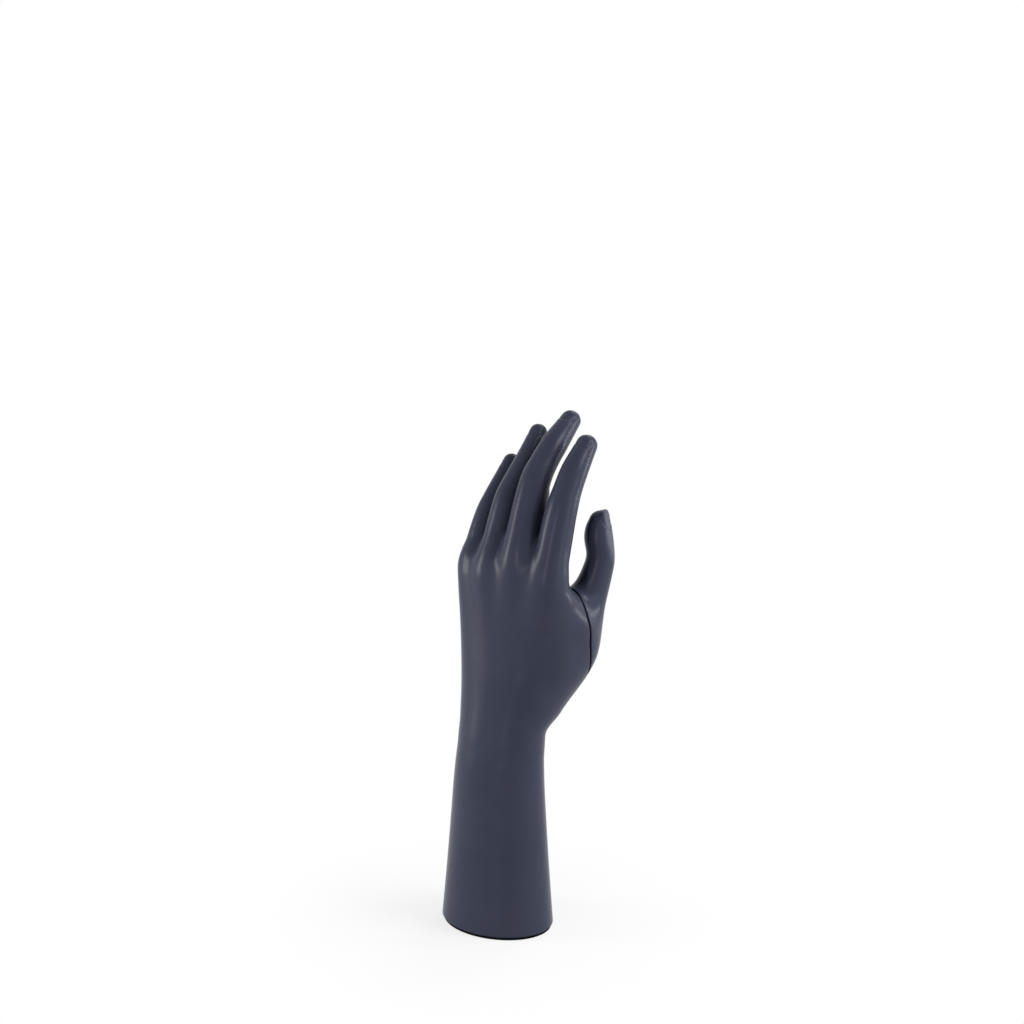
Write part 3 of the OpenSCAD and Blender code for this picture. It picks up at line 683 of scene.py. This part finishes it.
def close_at_seam(bm, side):
    """Closes a piece at the seam with a rounded rim, a flat face and the pocket of its joint plate."""
    normal = Vector(seam_normal)
    rim = [e for e in bm.edges if e.is_boundary and e.verts[0].co.z > WRIST_HEIGHT]
    loop = rounded(bm, rim, -side * normal)
    face = side * SEAM_GAP / 2
    slot = stadium(PLATE_LENGTH + 2 * PLATE_CLEARANCE, PLATE_WIDTH + 2 * PLATE_CLEARANCE)
    mouth = drawn_loop(bm, [on_seam(PLATE_RISE + x, PLATE_SHIFT + y, face) for x, y in slot])
    bmesh.ops.triangle_fill(bm, edges=loop + mouth, use_beauty=True)
    floor, pairs = extruded(bm, mouth)
    for new, _ in pairs:
        new.co += side * (PLATE_DEPTH - SEAM_GAP / 2) * normal
    holes = []
    for end in (-1, 1):
        ring = [on_seam(PLATE_RISE + x, PLATE_SHIFT + y, side * PLATE_DEPTH)
                for x, y in circle(end * PIN_SPACING, PIN_HOLE)]
        holes.append(drawn_loop(bm, ring))
    bmesh.ops.triangle_fill(bm, edges=floor + holes[0] + holes[1], use_beauty=True)
    for hole in holes:
        end, pairs = extruded(bm, hole)
        for new, _ in pairs:
            new.co += side * PIN_DEPTH * normal
        bmesh.ops.triangle_fill(bm, edges=end, use_beauty=True)


def close_at_foot(bm):
    """Closes the forearm below with a rounded edge and the recess of the foot plate."""
    rim = [e for e in bm.edges if e.is_boundary and e.verts[0].co.z < WRIST_HEIGHT]
    loop = rounded(bm, rim, Vector((0, 0, -1)))
    loop, pairs = extruded(bm, loop)
    for new, _ in pairs:
        new.co.x *= 1 - 2 * FOOT_RIM / FOOT[0]
        new.co.y *= 1 - 2 * FOOT_RIM / FOOT[1]
    loop, pairs = extruded(bm, loop)
    for new, _ in pairs:
        new.co.z += FOOT_RECESS
    bmesh.ops.triangle_fill(bm, edges=loop, use_beauty=True)


def piece_at_seam(whole, side, seed):
    """The hand's or the thumb's piece of the skin: side is -1 for the hand and 1 for the thumb."""
    bm = whole.copy()
    faces = [f for f in bm.faces if all(v.co.z < SEAM_TOP for v in f.verts)]
    geom = set(faces)
    for face in faces:
        geom.update(face.edges)
        geom.update(face.verts)
    rim = seam_point + side * (SEAM_GAP / 2 + EDGE_ROUND) * seam_normal
    cut = bmesh.ops.bisect_plane(bm, geom=list(geom), plane_co=rim, plane_no=seam_normal)
    edges = [g for g in cut["geom_cut"] if isinstance(g, bmesh.types.BMEdge)]
    bmesh.ops.split_edges(bm, edges=edges)
    kept_island(bm, Vector(seed))
    return bm


def piece(name, bm, body, node, material):
    """Object of a finished mesh in millimetres, which rides on a body in place of a CAD node."""
    bmesh.ops.recalc_face_normals(bm, faces=bm.faces[:])
    bmesh.ops.scale(bm, vec=(MM, MM, MM), verts=bm.verts[:])
    mesh = bpy.data.meshes.new(name)
    bm.to_mesh(mesh)
    bm.free()
    mesh.shade_smooth()
    mesh.set_sharp_from_angle(angle=math.radians(SHARP_ANGLE))
    mesh.materials.append(material)
    obj = bpy.data.objects.new(name, mesh)
    bpy.context.scene.collection.objects.link(obj)
    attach(obj, body)
    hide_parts(node)
    return obj


# Materials: usual range of a noise value, tones of stains and moulded grain, and sockets of a mix node
NOISE_RANGE = (0.3, 0.7)
STAIN_TONE = 0.86
GRAIN_TONE = 1.25
MIX_FIRST = 6
MIX_SECOND = 7
MIX_RESULT = 2


def srgb(red, green, blue):
    """Linear colour of an sRGB value from 0 to 255."""
    def linear(value):
        share = value / 255
        return share / 12.92 if share <= 0.04045 else ((share + 0.055) / 1.055) ** 2.4
    return (linear(red), linear(green), linear(blue), 1.0)


class Shading:
    """Nodes of a material with one principled shader."""

    def __init__(self, name, **constants):
        self.material = bpy.data.materials.new(name)
        self.material.use_nodes = True
        self.nodes = self.material.node_tree.nodes
        self.links = self.material.node_tree.links
        self.shader = self.nodes["Principled BSDF"]
        self.coordinates = self.nodes.new("ShaderNodeTexCoord").outputs["Object"]
        for socket, value in constants.items():
            self.shader.inputs[socket.replace("_", " ")].default_value = value

    def set(self, node, socket, value):
        if isinstance(value, bpy.types.NodeSocket):
            self.links.new(value, node.inputs[socket])
        else:
            node.inputs[socket].default_value = value

    def noise(self, scale, detail=2.0, stretch=None):
        """Noise with that many features in a metre, drawn out by a stretch for each axis."""
        place = self.coordinates
        if stretch:
            mapping = self.nodes.new("ShaderNodeMapping")
            self.set(mapping, "Vector", place)
            self.set(mapping, "Scale", stretch)
            place = mapping.outputs["Vector"]
        node = self.nodes.new("ShaderNodeTexNoise")
        self.set(node, "Vector", place)
        self.set(node, "Scale", scale)
        self.set(node, "Detail", detail)
        return node.outputs["Fac"]

    def spread(self, value, low, high):
        """A noise value from its usual range to a range of another quantity."""
        node = self.nodes.new("ShaderNodeMapRange")
        self.set(node, "Value", value)
        self.set(node, "From Min", NOISE_RANGE[0])
        self.set(node, "From Max", NOISE_RANGE[1])
        self.set(node, "To Min", low)
        self.set(node, "To Max", high)
        return node.outputs["Result"]

    def mixed(self, factor, first, second):
        node = self.nodes.new("ShaderNodeMix")
        node.data_type = "RGBA"
        self.set(node, "Factor", factor)
        node.inputs[MIX_FIRST].default_value = first
        node.inputs[MIX_SECOND].default_value = second
        return node.outputs[MIX_RESULT]

    def bump(self, *layers):
        """Bumps of several heights, each a value, a strength and a depth in metres."""
        normal = None
        for value, strength, depth in layers:
            node = self.nodes.new("ShaderNodeBump")
            self.set(node, "Height", value)
            self.set(node, "Strength", strength)
            self.set(node, "Distance", depth)
            if normal:
                self.set(node, "Normal", normal)
            normal = node.outputs["Normal"]
        self.set(self.shader, "Normal", normal)

    def finish(self, colour, roughness):
        self.set(self.shader, "Base Color", colour)
        self.set(self.shader, "Roughness", roughness)
        return self.material


def painted():
    """Satin slate paint with a fine orange peel and a faint drift in its tone."""
    s = Shading("slate_paint", Specular_IOR_Level=0.1)
    drift = s.noise(scale=28, detail=3)
    peel = s.noise(scale=750)
    grain = s.noise(scale=4200)
    s.bump((peel, 0.02, 0.0004), (grain, 0.04, 0.0001))
    colour = s.mixed(s.spread(drift, 0, 1), srgb(53, 57, 73), srgb(58, 61, 77))
    return s.finish(colour, s.spread(grain, 0.25, 0.31))


def toned(colour, tone):
    return tuple(tone * c for c in colour[:3]) + (1.0,)


def metal(name, colour, roughness, scale, stretch=(1, 1, 1)):
    """Metal with fine grain, drawn out to lines by a stretch."""
    s = Shading(name, Metallic=1.0)
    lines = s.noise(scale=scale, detail=3, stretch=stretch)
    stain = s.noise(scale=90, detail=3)
    s.bump((lines, 0.15, 0.00005))
    tint = s.mixed(s.spread(stain, 0, 1), toned(colour, STAIN_TONE), colour)
    return s.finish(tint, s.spread(lines, *roughness))


def moulded(name, colour, roughness, scale, depth, shine):
    """Plain plastic or rubber with a moulded grain of a depth in metres."""
    s = Shading(name, Specular_IOR_Level=shine)
    grain = s.noise(scale=scale, detail=3)
    tone = s.noise(scale=60)
    s.bump((grain, 0.35, depth))
    tint = s.mixed(s.spread(tone, 0, 1), colour, toned(colour, GRAIN_TONE))
    return s.finish(tint, s.spread(grain, *roughness))


paint = painted()
fittings = {
    "joint_plate": metal(
        "milled_aluminium", srgb(204, 205, 207), (0.28, 0.42), scale=300, stretch=(1, 1, 12)),
    "magnet": metal("nickel", srgb(186, 184, 178), (0.16, 0.26), scale=900),
    "fastener": metal("zinc_plate", srgb(172, 176, 184), (0.26, 0.38), scale=1200),
    "foot_plastic": moulded(
        "foot_plastic", srgb(42, 42, 47), (0.48, 0.62), scale=1400, depth=0.0001, shine=0.4),
    "pad_rubber": moulded(
        "pad_rubber", srgb(9, 9, 10), (0.7, 0.88), scale=1800, depth=0.0003, shine=0.05),
}

whole = whole_skin()
hand = piece_at_seam(whole, -1, (0, -FOOT[1] / 2, PAD_THICKNESS))
thumb = piece_at_seam(whole, 1, thumb_places[-1][:3])
whole.free()
close_at_seam(hand, -1)
close_at_seam(thumb, 1)
close_at_foot(hand)
piece("hand_skin", hand, "hand", "hand_shell", paint)
piece("thumb_skin", thumb, "thumb", "thumb_shell", paint)

for subpart in frame["record"]["subparts"]:
    if subpart["material_slot"] in fittings:
        node = frame["nodes"][subpart["node"]]
        for slot in node.material_slots:
            slot.material = fittings[subpart["material_slot"]]


# Studio in metres: pale floor, white surroundings, tall soft panels and the camera
CENTRE = Vector((0, 0, 0.165))
AMBIENT = 0.08
FLOOR_RADIUS = 9.0
FLOOR_TONE = 0.9
SHADOW_REACH = 0.16
SHADOW_LIGHTENING = 0.75
PANEL_DISTANCE = 1.3
TALL_PANEL_RISE = 9
TALL_PANEL_HEIGHT = 0.78
HIGH_PANEL_RISE = 46
HIGH_PANEL = (0.5, 0.5)
CAMERA_PLACE = Vector((0.96706, -1.3811, 0.78537))
CAMERA_AIM = Vector((-0.012873, 0.034153, 0.249407))
CAMERA_LENS = 106.07


def seen_directly(nodes, links):
    """1 for rays of the camera, of reflections and through clear bodies, which all see the white backdrop."""
    path = nodes.new("ShaderNodeLightPath")
    total = path.outputs["Is Camera Ray"]
    for kind in ("Is Glossy Ray", "Is Transmission Ray"):
        either = nodes.new("ShaderNodeMath")
        either.operation = "MAXIMUM"
        links.new(total, either.inputs[0])
        links.new(path.outputs[kind], either.inputs[1])
        total = either.outputs[0]
    return total


def pale_floor():
    """White floor that takes the hand's shadow and fades into the white surroundings."""
    bm = bmesh.new()
    bmesh.ops.create_circle(bm, cap_ends=True, segments=96, radius=FLOOR_RADIUS)
    mesh = bpy.data.meshes.new("floor")
    bm.to_mesh(mesh)
    bm.free()
    floor = bpy.data.objects.new("floor", mesh)
    bpy.context.scene.collection.objects.link(floor)
    material = bpy.data.materials.new("floor_white")
    material.use_nodes = True
    nodes, links = material.node_tree.nodes, material.node_tree.links
    shader = nodes["Principled BSDF"]
    shader.inputs["Base Color"].default_value = (FLOOR_TONE, FLOOR_TONE, FLOOR_TONE, 1)
    shader.inputs["Roughness"].default_value = 0.9
    shader.inputs["Specular IOR Level"].default_value = 0.1
    glow = nodes.new("ShaderNodeEmission")
    place = nodes.new("ShaderNodeTexCoord")
    reach = nodes.new("ShaderNodeVectorMath")
    reach.operation = "LENGTH"
    links.new(place.outputs["Object"], reach.inputs[0])
    fade = nodes.new("ShaderNodeMapRange")
    fade.interpolation_type = "SMOOTHSTEP"
    fade.inputs["From Max"].default_value = SHADOW_REACH
    fade.inputs["To Min"].default_value = SHADOW_LIGHTENING
    links.new(reach.outputs["Value"], fade.inputs["Value"])
    share = nodes.new("ShaderNodeMath")
    share.operation = "MULTIPLY"
    links.new(fade.outputs["Result"], share.inputs[0])
    links.new(seen_directly(nodes, links), share.inputs[1])
    mix = nodes.new("ShaderNodeMixShader")
    links.new(share.outputs[0], mix.inputs["Fac"])
    links.new(shader.outputs["BSDF"], mix.inputs[1])
    links.new(glow.outputs["Emission"], mix.inputs[2])
    links.new(mix.outputs["Shader"], nodes["Material Output"].inputs["Surface"])
    mesh.materials.append(material)


def surroundings():
    """White to the camera and in reflections, and a dim even light on the hand."""
    world = bpy.data.worlds.new("studio")
    bpy.context.scene.world = world
    world.use_nodes = True
    nodes, links = world.node_tree.nodes, world.node_tree.links
    ambient = nodes["Background"]
    ambient.inputs["Color"].default_value = (1, 1, 1, 1)
    ambient.inputs["Strength"].default_value = AMBIENT
    backdrop = nodes.new("ShaderNodeBackground")
    backdrop.inputs["Color"].default_value = (1, 1, 1, 1)
    mix = nodes.new("ShaderNodeMixShader")
    links.new(seen_directly(nodes, links), mix.inputs["Fac"])
    links.new(ambient.outputs["Background"], mix.inputs[1])
    links.new(backdrop.outputs["Background"], mix.inputs[2])
    links.new(mix.outputs["Shader"], nodes["World Output"].inputs["Surface"])


def panel(name, azimuth, elevation, size, watts):
    """Soft panel that faces the hand. Azimuth 0 is before the back of the hand, 90 on the thumb's side."""
    light = bpy.data.lights.new(name, "AREA")
    light.shape = "RECTANGLE"
    light.size, light.size_y = size
    light.energy = watts
    obj = bpy.data.objects.new(name, light)
    turn, rise = math.radians(azimuth), math.radians(elevation)
    away = Vector((math.sin(turn) * math.cos(rise), -math.cos(turn) * math.cos(rise), math.sin(rise)))
    obj.location = CENTRE + PANEL_DISTANCE * away
    obj.rotation_euler = away.to_track_quat("Z", "Y").to_euler()
    bpy.context.scene.collection.objects.link(obj)


def photo_camera():
    camera = bpy.data.cameras.new("camera")
    camera.sensor_width = 36.0
    camera.lens = CAMERA_LENS
    obj = bpy.data.objects.new("camera", camera)
    obj.location = CAMERA_PLACE
    obj.rotation_euler = (CAMERA_PLACE - CAMERA_AIM).to_track_quat("Z", "Y").to_euler()
    bpy.context.scene.collection.objects.link(obj)
    bpy.context.scene.camera = obj


pale_floor()
surroundings()
panel("left_panel", -57, TALL_PANEL_RISE, (0.36, TALL_PANEL_HEIGHT), watts=12.0)
panel("fill_panel", -20, TALL_PANEL_RISE, (0.5, TALL_PANEL_HEIGHT), watts=1.0)
panel("front_panel", 9, TALL_PANEL_RISE, (0.08, TALL_PANEL_HEIGHT), watts=3.4)
panel("right_panel", 90, TALL_PANEL_RISE, (0.16, TALL_PANEL_HEIGHT), watts=2.2)
panel("rim_panel", 132, TALL_PANEL_RISE, (0.2, TALL_PANEL_HEIGHT), watts=7.5)
panel("high_panel", 105, HIGH_PANEL_RISE, HIGH_PANEL, watts=10.0)
panel("back_panel", 185, HIGH_PANEL_RISE, HIGH_PANEL, watts=4.0)
photo_camera()
bpy.context.scene.view_settings.view_transform = "Standard"
